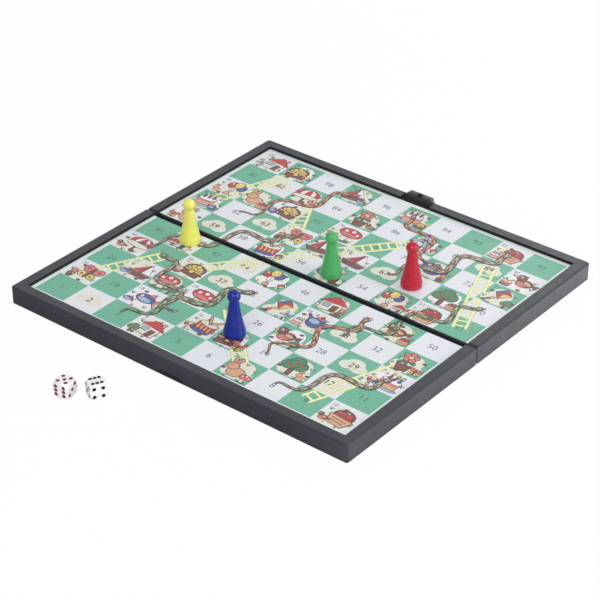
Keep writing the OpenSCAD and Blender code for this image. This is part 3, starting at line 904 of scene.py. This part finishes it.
SNAKE_STEPS = 72
SNAKE_STRIPS = 4
SNAKE_EDGE = 0.3           # what the edges add to a snake's width
HEAD_WIDTH, HEAD_GAIN = 0.75, 2.5      # share of the width at the head, and its gain per path
TIP_WIDTH, TIP_GAIN = 0.12, 2.4        # the same at the tail's tip, and toward the head
WAVE_IN, WAVE_OUT = 0.12, 0.1          # shares of the path in which the winding comes and goes
FACING_STEP = 0.03         # share of the path from which the head takes its direction
TONGUE_FORK = 16           # degrees


def print_ladder(press, foot, top):
    """Two rails with their rungs between two places in the picture."""
    settings = press.settings
    start, end = press.spot(*foot), press.spot(*top)
    along = end - start
    turn = math.atan2(along.y, along.x)
    press.matrix = Matrix.Translation((start + end) / 2) @ Matrix.Rotation(turn, 4, "Z")
    press.layer = press.first_layer
    reach = along.length
    rungs = round(reach / settings.rung_pitch)
    for ink, extra in (("ladder_edge", settings.rail * LADDER_EDGE), ("ladder", 0.0)):
        rung_layer = press.layer
        for number in range(rungs):
            press.layer = rung_layer
            place = (number + 0.5) * reach / rungs - reach / 2
            press.bar(ink, place, 0, settings.rail * RUNG + extra, settings.rail_gap, rim=False)
        rail_layer = press.layer
        for side in (-1, 1):
            press.layer = rail_layer
            press.bar(ink, 0, side * settings.rail_gap / 2, reach + extra, settings.rail + extra,
                      rim=False)


def snake_path(press, head, tail, turns, first_side):
    """A path that winds from the head to the tail and dies away at both ends."""
    start, end = press.spot(*head), press.spot(*tail)
    along = end - start
    side = Vector((-along.y, along.x, 0)).normalized()

    def path(t):
        """Place at a share t of the path."""
        fade = min(1.0, t / WAVE_IN, (1 - t) / WAVE_OUT)
        wave = math.sin(2 * math.pi * turns * t) * press.settings.swing * first_side * fade
        return start + along * t + side * wave
    return path


def print_snake(press, layer, head, tail, turns, first_side, girth, back, band):
    """A banded snake with its head, eyes and forked tongue."""
    path = snake_path(press, head, tail, turns, first_side)
    full = press.settings.snake_width * girth

    def body(t):
        """Width of the snake, narrower at the head and pointed at the tail."""
        return (full * min(1.0, HEAD_WIDTH + HEAD_GAIN * t)
                * min(1.0, TIP_WIDTH + (1 - t) * TIP_GAIN))

    def edged(t):
        """Width of the snake with its dark edges."""
        return body(t) + SNAKE_EDGE * full

    def banded(step, strip):
        """Ink of bands two steps wide that bend forward in the middle strips."""
        return band if (step // 2 + (strip in (1, 2))) % 3 == 0 else back

    press.matrix = Matrix()
    press.layer = press.first_layer + layer
    press.ribbon("snake_edge", path, edged, SNAKE_STEPS)
    press.ribbon(back, path, body, SNAKE_STEPS, SNAKE_STRIPS, banded)
    facing = path(0) - path(FACING_STEP)
    turn = math.atan2(facing.y, facing.x)
    press.matrix = (Matrix.Translation(path(0)) @ Matrix.Rotation(turn, 4, "Z")
                    @ Matrix.Scale(full, 4))
    press.rim = SNAKE_RIM
    for side in (-1, 1):
        press.bar("red", 1.25, 0.16 * side, 0.6, 0.12, TONGUE_FORK * side, rim=False)
    press.bar("red", 0.85, 0, 0.6, 0.13, rim=False)
    press.disc(back, 0.1, 0, 1.7, 1.25)
    press.disc(band, -0.1, 0, 0.8, 0.6, rim=False)
    for side in (-1, 1):
        press.disc("white", 0.4, 0.33 * side, 0.34)
        press.disc("outline", 0.46, 0.33 * side, 0.15, rim=False)


def print_number(press, text_object, number):
    """One square's number: in the middle, or small in a corner beside a picture."""
    text_object.data.body = str(number)
    bpy.context.view_layer.update()
    graph = bpy.context.evaluated_depsgraph_get()
    mesh = bpy.data.meshes.new_from_object(text_object.evaluated_get(graph))
    start = len(press.bm.verts)
    press.bm.from_mesh(mesh)
    bpy.data.meshes.remove(mesh)
    verts = press.bm.verts[start:]
    low = Vector([min(vert.co[axis] for vert in verts) for axis in range(3)])
    high = Vector([max(vert.co[axis] for vert in verts) for axis in range(3)])
    column, row = square_of(number)
    busy = number in BUSY
    right, up = CORNER if busy else (0.5, 0.5)
    size = press.settings.digit * (CORNER_SIZE if busy else 1.0)
    press.matrix = (Matrix.Translation(press.spot(column + right, row + up))
                    @ Matrix.Scale(size / (high.y - low.y), 4)
                    @ Matrix.Translation((low + high) / -2))
    press.layer = press.first_layer
    press.lay(verts, "digit_green" if (column + row) % 2 == 0 else "digit_dark")


def print_numbers(press):
    """The numbers of all squares, each laid from the same text object."""
    curve = bpy.data.curves.new("digits", "FONT")
    curve.resolution_u = 3
    text_object = bpy.data.objects.new("digits", curve)
    bpy.context.scene.collection.objects.link(text_object)
    for number in range(1, COLUMNS * ROWS + 1):
        print_number(press, text_object, number)
    bpy.data.objects.remove(text_object)
    bpy.data.curves.remove(curve)


def print_clouds(press):
    """The pale clouds behind some numbers."""
    for number in CLOUDS:
        column, row = square_of(number)
        press.at(column + 0.5, row + 0.5, press.settings.picture)
        draw_cloud(press)


def print_ladders(press):
    """All ladders, each from the first layer up."""
    for foot, top in LADDERS:
        print_ladder(press, foot, top)


def print_pictures(press):
    """Each picture on its patch of ground, leaning to one side, with a small one beside it."""
    size = press.settings.picture
    for draw, draw_beside, number in PICTURES:
        column, row = square_of(number)
        side = 1 if number % 2 else -1
        press.at(column + 0.5, row + GROUND_HEIGHT, size)
        draw_ground(press, number)
        press.place(column + 0.5 - PICTURE_SHIFT * side, row + 0.5, size, PICTURE_LEAN * side)
        draw(press)
        press.place(column + 0.5 + BESIDE_SHIFT * side, row + BESIDE_HEIGHT, size * BESIDE_SIZE)
        draw_beside(press)


def print_snakes(press):
    """All snakes, each two layers above the one before."""
    for number, snake in enumerate(SNAKES):
        print_snake(press, 2 * number, *snake)


# Prints: name of the piece, its first layer of ink, and what lays it
PRINTS = (
    ("numbers", 3, print_numbers),
    ("clouds", 1, print_clouds),
    ("ladders", 4, print_ladders),
    ("pictures", 8, print_pictures),
    ("snakes", 70, print_snakes),
)


# ---------------------------------------------------------------- pawns and dice

FOOT_STEPS = 6
FLANK_STEPS = 6
HEAD_STEPS = 16
HEAD_GAP = 6               # degrees of the head that the curve from the neck takes up
TURN_STEPS = 72
SHARP_ANGLE = 40           # degrees


def arc(centre, radius, start, end, steps):
    """Points of an arc in a profile, angles in degrees."""
    for number in range(steps + 1):
        angle = math.radians(start + (end - start) * number / steps)
        yield (centre[0] + radius * math.cos(angle), centre[1] + radius * math.sin(angle))


def smooth_curve(spots, steps):
    """Points of a smooth curve through all spots but the first and last, which bend its ends."""
    for before, start, end, after in zip(spots, spots[1:], spots[2:], spots[3:]):
        reach = (end - start).length
        slope_start = (end - before).normalized() * reach
        slope_end = (after - start).normalized() * reach
        for number in range(steps):
            t = number / steps
            yield ((2 * t ** 3 - 3 * t ** 2 + 1) * start + (t ** 3 - 2 * t ** 2 + t) * slope_start
                   + (3 * t ** 2 - 2 * t ** 3) * end + (t ** 3 - t ** 2) * slope_end)
    yield spots[-2]


def pawn_profile(height, foot_radius, bore_radius, bore_depth, settings):
    """Half outline of a pawn from the top of the magnet's bore, down, out and up to the crown."""
    head_radius = settings.head / 2
    head_z = height - head_radius
    neck_radius = settings.neck / 2
    neck_z = head_z - math.sqrt(head_radius ** 2 - neck_radius ** 2)
    edge = settings.foot_round
    points = [(0, bore_depth), (bore_radius, bore_depth), (bore_radius, 0)]
    points += arc((foot_radius - edge, edge), edge, -90, 0, FOOT_STEPS)
    flank = (Vector((foot_radius, settings.foot - settings.shoulder_height)),
             Vector((foot_radius, settings.foot)),
             Vector((foot_radius - settings.shoulder, settings.foot + settings.shoulder_height)),
             Vector((settings.bend / 2, settings.bend_share * height)),
             Vector((neck_radius, neck_z)),
             Vector((neck_radius, neck_z + settings.shoulder_height)))
    points += [tuple(spot) for spot in smooth_curve(flank, FLANK_STEPS)]
    under = math.degrees(math.asin((neck_z - head_z) / head_radius))
    points += arc((0, head_z), head_radius, under + HEAD_GAP, 90, HEAD_STEPS)
    points[-1] = (0, height)
    return points


def spin_profile(points, steps):
    """Turns a half outline into a closed solid about the Z axis."""
    bm = bmesh.new()
    verts = [bm.verts.new((x, 0, z)) for x, z in points]
    edges = [bm.edges.new(pair) for pair in zip(verts, verts[1:])]
    bmesh.ops.spin(bm, geom=verts + edges, cent=(0, 0, 0), axis=(0, 0, 1), angle=2 * math.pi,
                   steps=steps, use_merge=True, use_duplicate=False)
    bmesh.ops.remove_doubles(bm, verts=bm.verts[:], dist=TINY)
    bmesh.ops.recalc_face_normals(bm, faces=bm.faces[:])
    return bm


PIPS = {
    1: ((0, 0),),
    2: ((-1, -1), (1, 1)),
    3: ((-1, 1), (0, 0), (1, -1)),
    4: ((-1, -1), (-1, 1), (1, -1), (1, 1)),
    5: ((-1, -1), (-1, 1), (0, 0), (1, -1), (1, 1)),
    6: ((-1, -1), (-1, 0), (-1, 1), (1, -1), (1, 0), (1, 1)),
}

# Turns in degrees that bring the top to each face: top, bottom, front, back, right, left
FACE_TURNS = ((0, "X"), (180, "X"), (90, "X"), (-90, "X"), (90, "Y"), (-90, "Y"))

# Dice: turn of the die on the table, turn of the pips on its top, and the pips of each face in turn
DICE = {
    "red": (9.3, 0, (5, 2, 6, 1, 3, 4)),
    "black": (61, 90, (6, 1, 4, 3, 2, 5)),
}

PIP_SIDES = 18
PIP_RINGS = 24
PIP_RIM = 0.985            # share of a pip's height at which its paint ends
PAINT_SUNK = 1.5           # how thick the paint is, in terms of what shows of it


def pip_paint(bm, place, settings):
    """Adds the thin cup of paint that lines one hollow of a die."""
    ball = (settings.pip ** 2 / 4 + settings.hollow ** 2) / (2 * settings.hollow)
    verts = bmesh.ops.create_uvsphere(bm, u_segments=PIP_SIDES, v_segments=PIP_RINGS,
                                      radius=ball - settings.paint)["verts"]
    rim = ball - settings.hollow
    gone = [vert for vert in verts if vert.co.z > -rim * PIP_RIM]
    bmesh.ops.delete(bm, geom=gone, context="VERTS")
    kept = [vert for vert in verts if vert.is_valid]
    faces = list({face for vert in kept for face in vert.link_faces})
    shell = bmesh.ops.solidify(bm, geom=faces, thickness=-settings.paint * PAINT_SUNK)
    bmesh.ops.transform(bm, matrix=place @ Matrix.Translation((0, 0, rim)),
                        verts=list(set(kept + verts_of(shell))))


def paint_pips(node, body, turn, top_turn, counts, material, settings):
    """Paints every pip of one die, which stands on the table turned by turn degrees."""
    low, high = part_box(node)
    half = (high.z - low.z) / 2
    stand = Matrix.Translation((low + high) / 2) @ Matrix.Rotation(math.radians(turn), 4, "Z")
    bm = bmesh.new()
    for number, (count, (angle, axis)) in enumerate(zip(counts, FACE_TURNS)):
        face = stand @ Matrix.Rotation(math.radians(angle), 4, axis)
        if number == 0:
            face = face @ Matrix.Rotation(math.radians(top_turn), 4, "Z")
        for x, y in PIPS[count]:
            spot = Matrix.Translation((x * settings.pitch, y * settings.pitch, half))
            pip_paint(bm, face @ spot, settings)
    bmesh.ops.recalc_face_normals(bm, faces=bm.faces[:])
    return new_piece(node + "_pips", bm, material, body, smooth=True)


# ---------------------------------------------------------------- operators

SHADE_SLACK = 0.02 * MM     # by which a box of painted shade reaches past the faces it takes in


class GAMEBOX_OT_case(bpy.types.Operator):
    """Give both halves their moulded plastic"""
    bl_idname = "gamebox.case"
    bl_label = "Case halves"

    def execute(self, context):
        settings = context.scene.game_box_case
        # Painted shade round the printed sheet, and on the strip of rim between it and the clasp.
        edge = Vector((settings.well_edge, settings.well_edge, 0))
        field = (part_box("play_sheet_near")[0] - edge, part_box("play_sheet_far")[1] + edge)
        field[1].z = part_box("case_far")[1].z - settings.well_lip
        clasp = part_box("latch_clasp")
        play = Vector((settings.clasp_play, 0, 0))
        thumb_shade = (clasp[0] - play, clasp[1] + play)
        thumb_shade[0].y, thumb_shade[1].y = field[1].y, clasp[0].y
        plastic = moulded_plastic("case_plastic", settings.plastic, settings.roughness,
                                  settings.grain, scuffs=0.22, shaded_boxes=(field, thumb_shade))
        dress(("case_far", "case_near"), plastic)
        return {"FINISHED"}


class GAMEBOX_OT_fittings(bpy.types.Operator):
    """Finish the hinge links, the pins, the clasp, the steel sheets and the magnets"""
    bl_idname = "gamebox.fittings"
    bl_label = "Hinge, latch and magnets"

    def execute(self, context):
        settings = context.scene.game_box_case
        dress(("hinge_link_left", "hinge_link_right"),
              moulded_plastic("link_plastic", settings.link, 0.5, settings.grain))
        self.finish_clasp(settings)
        dress(("hinge_pin_far_left", "hinge_pin_far_right", "hinge_pin_near_left",
               "hinge_pin_near_right", "latch_pin"),
              drawn_steel("pin_steel", settings.steel, stretch=(20, 1, 1)))
        dress(("steel_sheet_far", "steel_sheet_near"),
              drawn_steel("sheet_steel", settings.steel, stretch=(1, 20, 1)))
        dress(("magnet_yellow", "magnet_green", "magnet_red", "magnet_blue"),
              sintered("magnet_ferrite", settings.ferrite))
        return {"FINISHED"}

    def finish_clasp(self, settings):
        """Gives the clasp its plastic with painted shade in its slot, and the shoulders that fill
        its notch.
        """
        low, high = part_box("latch_clasp")
        back = low.y + settings.plate_thickness
        slack = Vector.Fill(3, SHADE_SLACK)
        # Painted shade fills this box in the clasp's slot.
        slot = (Vector((-settings.slot / 2, low.y, high.z - settings.slot_depth)) - slack,
                Vector((settings.slot / 2, back, high.z)) + slack)
        plastic = moulded_plastic("clasp_plastic", settings.clasp, settings.roughness,
                                  settings.grain, scuffs=0.3, shaded_boxes=(slot,))
        dress(("latch_clasp",), plastic)
        bm = bmesh.new()
        inner_end = high.x - settings.plate_inset - settings.shoulder_round
        top = high.z - settings.shoulder_drop
        foot = low.z + settings.barrel / 2
        outline = ((inner_end, foot), (high.x, foot), (high.x, top - settings.shoulder_slope),
                   (inner_end, top))
        for side in (-1, 1):
            face = bm.faces.new([bm.verts.new((side * x, low.y, z)) for x, z in outline])
            grown = bmesh.ops.extrude_face_region(bm, geom=[face])
            bmesh.ops.translate(bm, verts=verts_of(grown), vec=(0, back - low.y, 0))
        bmesh.ops.recalc_face_normals(bm, faces=bm.faces[:])
        bmesh.ops.bevel(bm, geom=bm.edges[:], offset=settings.shoulder_round, segments=3,
                        affect="EDGES", profile=0.5, material=-1)
        new_piece("clasp_shoulders", bm, plastic, "latch", smooth=True)


class GAMEBOX_OT_squares(bpy.types.Operator):
    """Print the green and white squares on both sheets"""
    bl_idname = "gamebox.squares"
    bl_label = "Squares"

    def execute(self, context):
        settings = context.scene.game_box_print
        for half in halves(settings):
            dress((half.node,), chequered_sheet(half, settings))
        return {"FINISHED"}


class GAMEBOX_OT_pictures(bpy.types.Operator):
    """Print the numbers, the clouds, the ladders, the pictures and the snakes"""
    bl_idname = "gamebox.pictures"
    bl_label = "Numbers and pictures"

    def execute(self, context):
        inks = ink_material()
        for name, first_layer, lay_all in PRINTS:
            press = Press(first_layer, context.scene.game_box_print)
            lay_all(press)
            press.finish("print_" + name, inks)
        return {"FINISHED"}


class GAMEBOX_OT_pawns(bpy.types.Operator):
    """Turn the four pawns, each round its magnet"""
    bl_idname = "gamebox.pawns"
    bl_label = "Pawns"

    def execute(self, context):
        settings = context.scene.game_box_pawns
        for name in ("yellow", "green", "red", "blue"):
            low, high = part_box("pawn_" + name)
            magnet_low, magnet_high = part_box("magnet_" + name)
            size, magnet_size = high - low, magnet_high - magnet_low
            points = pawn_profile(size.z, size.x / 2, magnet_size.x / 2, magnet_size.z, settings)
            bm = spin_profile(points, TURN_STEPS)
            middle = (low + high) / 2
            bmesh.ops.translate(bm, verts=bm.verts[:], vec=(middle.x, middle.y, low.z))
            plastic = polished_plastic(name + "_plastic", getattr(settings, name),
                                       settings.roughness)
            pawn = new_piece(name + "_pawn_turned", bm, plastic, name + "_pawn",
                             smooth=True)
            smooth_by_angle(pawn, SHARP_ANGLE)
            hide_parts("pawn_" + name)
        return {"FINISHED"}


class GAMEBOX_OT_dice(bpy.types.Operator):
    """Finish both dice and paint their pips"""
    bl_idname = "gamebox.dice"
    bl_label = "Dice"

    def execute(self, context):
        settings = context.scene.game_box_dice
        dress(("die_red", "die_black"), polished_plastic("die_plastic", settings.plastic, 0.2))
        for name, (turn, top_turn, counts) in DICE.items():
            paint = polished_plastic("pip_" + name, getattr(settings, name), 0.35)
            paint_pips("die_" + name, name + "_die", turn, top_turn, counts, paint, settings)
        return {"FINISHED"}


# Lamps: name, place, width, height and radiance, in metres and in the white of the background
LAMPS = (
    ("backdrop", (-1.2, 1.5, 1.15), 3.4, 2.2, 0.41),
    ("rim_softbox", (0.02, 0.5, 0.24), 0.5, 0.28, 1.0),
    ("key_softbox", (0.3, -0.85, 0.85), 0.8, 0.8, 3.0),
    ("side_softbox", (1.05, 0.35, 0.5), 0.8, 0.8, 3.6),
)

SENSOR_WIDTH = 36          # millimetres, as the lens
NEAR_CLIP, FAR_CLIP = 0.05, 20
FLOOR_REACH = 3
FLOOR_INSET = 2 * MM       # how far the floor reaches under the box


def looking(direction):
    """Turn of a camera or lamp that looks in a direction."""
    return direction.to_track_quat("-Z", "Y").to_matrix().to_4x4()


class GAMEBOX_OT_stage(bpy.types.Operator):
    """Set up the camera, the floor, the plain studio and its lamps"""
    bl_idname = "gamebox.stage"
    bl_label = "Studio"

    def execute(self, context):
        scene = context.scene
        settings = scene.game_box_stage
        scene.view_settings.view_transform = "Standard"
        self.make_camera(scene, settings)
        self.make_world(scene, settings)
        self.make_floor(scene, settings)
        for name, place, width, height, radiance in LAMPS:
            self.make_lamp(scene, name, Vector(place), width, height, radiance)
        return {"FINISHED"}

    def make_camera(self, scene, settings):
        """The camera at the photograph's viewing angle."""
        flat = math.cos(settings.elevation)
        back = Vector((math.sin(settings.azimuth) * flat, -math.cos(settings.azimuth) * flat,
                       math.sin(settings.elevation)))
        camera = bpy.data.objects.new("camera", bpy.data.cameras.new("camera"))
        camera.data.lens = settings.lens
        camera.data.sensor_width = SENSOR_WIDTH
        camera.data.clip_start = NEAR_CLIP
        camera.data.clip_end = FAR_CLIP
        camera.matrix_world = (Matrix.Translation(settings.place) @ looking(-back)
                               @ Matrix.Rotation(settings.roll, 4, "Z"))
        scene.collection.objects.link(camera)
        scene.camera = camera

    def make_world(self, scene, settings):
        """Plain light from all round, white to the camera."""
        world = bpy.data.worlds.new("studio")
        world.use_nodes = True
        scene.world = world
        nodes = Nodes(world.node_tree)
        seen = nodes.node("LightPath").outputs["Is Camera Ray"]
        strength = nodes.spread(seen, settings.ambient, 1.0, start=0, end=1)
        nodes.feed(world.node_tree.nodes["Background"], Color=(1, 1, 1), Strength=strength)

    def make_floor(self, scene, settings):
        """A floor that is open under the box, so that its underside has light."""
        inset = Vector((FLOOR_INSET, FLOOR_INSET, 0))
        corners = (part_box("case_near")[0] + inset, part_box("case_far")[1] - inset)
        bm = bmesh.new()
        bmesh.ops.create_grid(bm, x_segments=1, y_segments=1, size=FLOOR_REACH)
        for corner in corners:
            for across in ((1, 0, 0), (0, 1, 0)):
                bmesh.ops.bisect_plane(bm, geom=whole(bm), plane_co=corner, plane_no=across)
        under = min(bm.faces, key=lambda face: face.calc_center_median().length)
        bmesh.ops.delete(bm, geom=[under], context="FACES")
        mesh = bpy.data.meshes.new("floor")
        bm.to_mesh(mesh)
        bm.free()
        mesh.materials.append(self.floor_finish(settings))
        floor = bpy.data.objects.new("floor", mesh)
        scene.collection.objects.link(floor)

    def floor_finish(self, settings):
        """Matt white that is nearly clear to the camera; in the plastic's mirror it is painted
        darker as painted shade, and glows beyond the box's right side as painted reflection.
        """
        finish = Finish("floor", settings.floor, 0.9)
        rays = finish.node("LightPath").outputs
        x, y, _ = finish.axes()
        # Painted reflection: in a mirror the floor is darker over most of its width, and glows
        # beyond the box's right side, more toward the back.
        right = finish.spread(x, 0, 1, start=0.06, end=0.12)
        mirrored = finish.blend(right, settings.floor_front, settings.floor)
        tint = finish.blend(rays["Is Glossy Ray"], settings.floor, mirrored)
        far = finish.spread(y, 0.2, 1.0, start=-0.09, end=0.1)
        glow = finish.math("MULTIPLY", right, rays["Is Glossy Ray"])
        finish.set(Base_Color=tint, Specular_IOR_Level=0.0, Emission_Color=(1, 1, 1),
                   Emission_Strength=finish.math("MULTIPLY", glow, far))
        clear = finish.node("BsdfTransparent").outputs[0]
        below = finish.node("NewGeometry").outputs["Backfacing"]
        seen = finish.math("MULTIPLY", rays["Is Camera Ray"], 1.0 - settings.veil)
        own = finish.math("SUBTRACT", 1.0, finish.math("MAXIMUM", seen, below))
        mix = finish.node("MixShader", Fac=own)
        finish.plug(mix.inputs[1], clear)
        finish.plug(mix.inputs[2], finish.shader.outputs[0])
        finish.feed(finish.tree.nodes["Material Output"], Surface=mix.outputs[0])
        return finish.material

    def make_lamp(self, scene, name, place, width, height, radiance):
        """A rectangular lamp that faces the middle of the box."""
        lamp = bpy.data.objects.new(name, bpy.data.lights.new(name, "AREA"))
        lamp.data.shape = "RECTANGLE"
        lamp.data.size = width
        lamp.data.size_y = height
        lamp.data.energy = radiance * math.pi * width * height
        lamp.matrix_world = Matrix.Translation(place) @ looking(-place)
        lamp.visible_camera = False
        scene.collection.objects.link(lamp)


class GAMEBOX_PT_panel(bpy.types.Panel):
    """Lists the steps and their settings"""
    bl_label = "Game Box"
    bl_idname = "GAMEBOX_PT_panel"
    bl_space_type = "VIEW_3D"
    bl_region_type = "UI"
    bl_category = "Game Box"

    def draw(self, context):
        for operator, group in STEPS:
            box = self.layout.box()
            box.operator(operator.bl_idname)
            settings = getattr(context.scene, group)
            for name in settings.bl_rna.properties.keys():
                if name not in ("rna_type", "name"):
                    box.prop(settings, name)


# The groups of settings, by their names on the scene
GROUPS = {
    "game_box_case": CaseSettings,
    "game_box_print": PrintSettings,
    "game_box_pawns": PawnSettings,
    "game_box_dice": DiceSettings,
    "game_box_stage": StageSettings,
}

# The operators in order, each with the group that it reads
STEPS = (
    (GAMEBOX_OT_stage, "game_box_stage"),
    (GAMEBOX_OT_case, "game_box_case"),
    (GAMEBOX_OT_fittings, "game_box_case"),
    (GAMEBOX_OT_squares, "game_box_print"),
    (GAMEBOX_OT_pictures, "game_box_print"),
    (GAMEBOX_OT_pawns, "game_box_pawns"),
    (GAMEBOX_OT_dice, "game_box_dice"),
)


def register():
    for name, group in GROUPS.items():
        bpy.utils.register_class(group)
        setattr(bpy.types.Scene, name, bpy.props.PointerProperty(type=group))
    for operator, _ in STEPS:
        bpy.utils.register_class(operator)
    bpy.utils.register_class(GAMEBOX_PT_panel)


def unregister():
    bpy.utils.unregister_class(GAMEBOX_PT_panel)
    for operator, _ in reversed(STEPS):
        bpy.utils.unregister_class(operator)
    for name, group in reversed(GROUPS.items()):
        delattr(bpy.types.Scene, name)
        bpy.utils.unregister_class(group)


def main():
    register()
    bpy.ops.gamebox.stage()
    bpy.ops.gamebox.case()
    bpy.ops.gamebox.fittings()
    bpy.ops.gamebox.squares()
    bpy.ops.gamebox.pictures()
    bpy.ops.gamebox.pawns()
    bpy.ops.gamebox.dice()


if __name__ == "__main__":
    main()
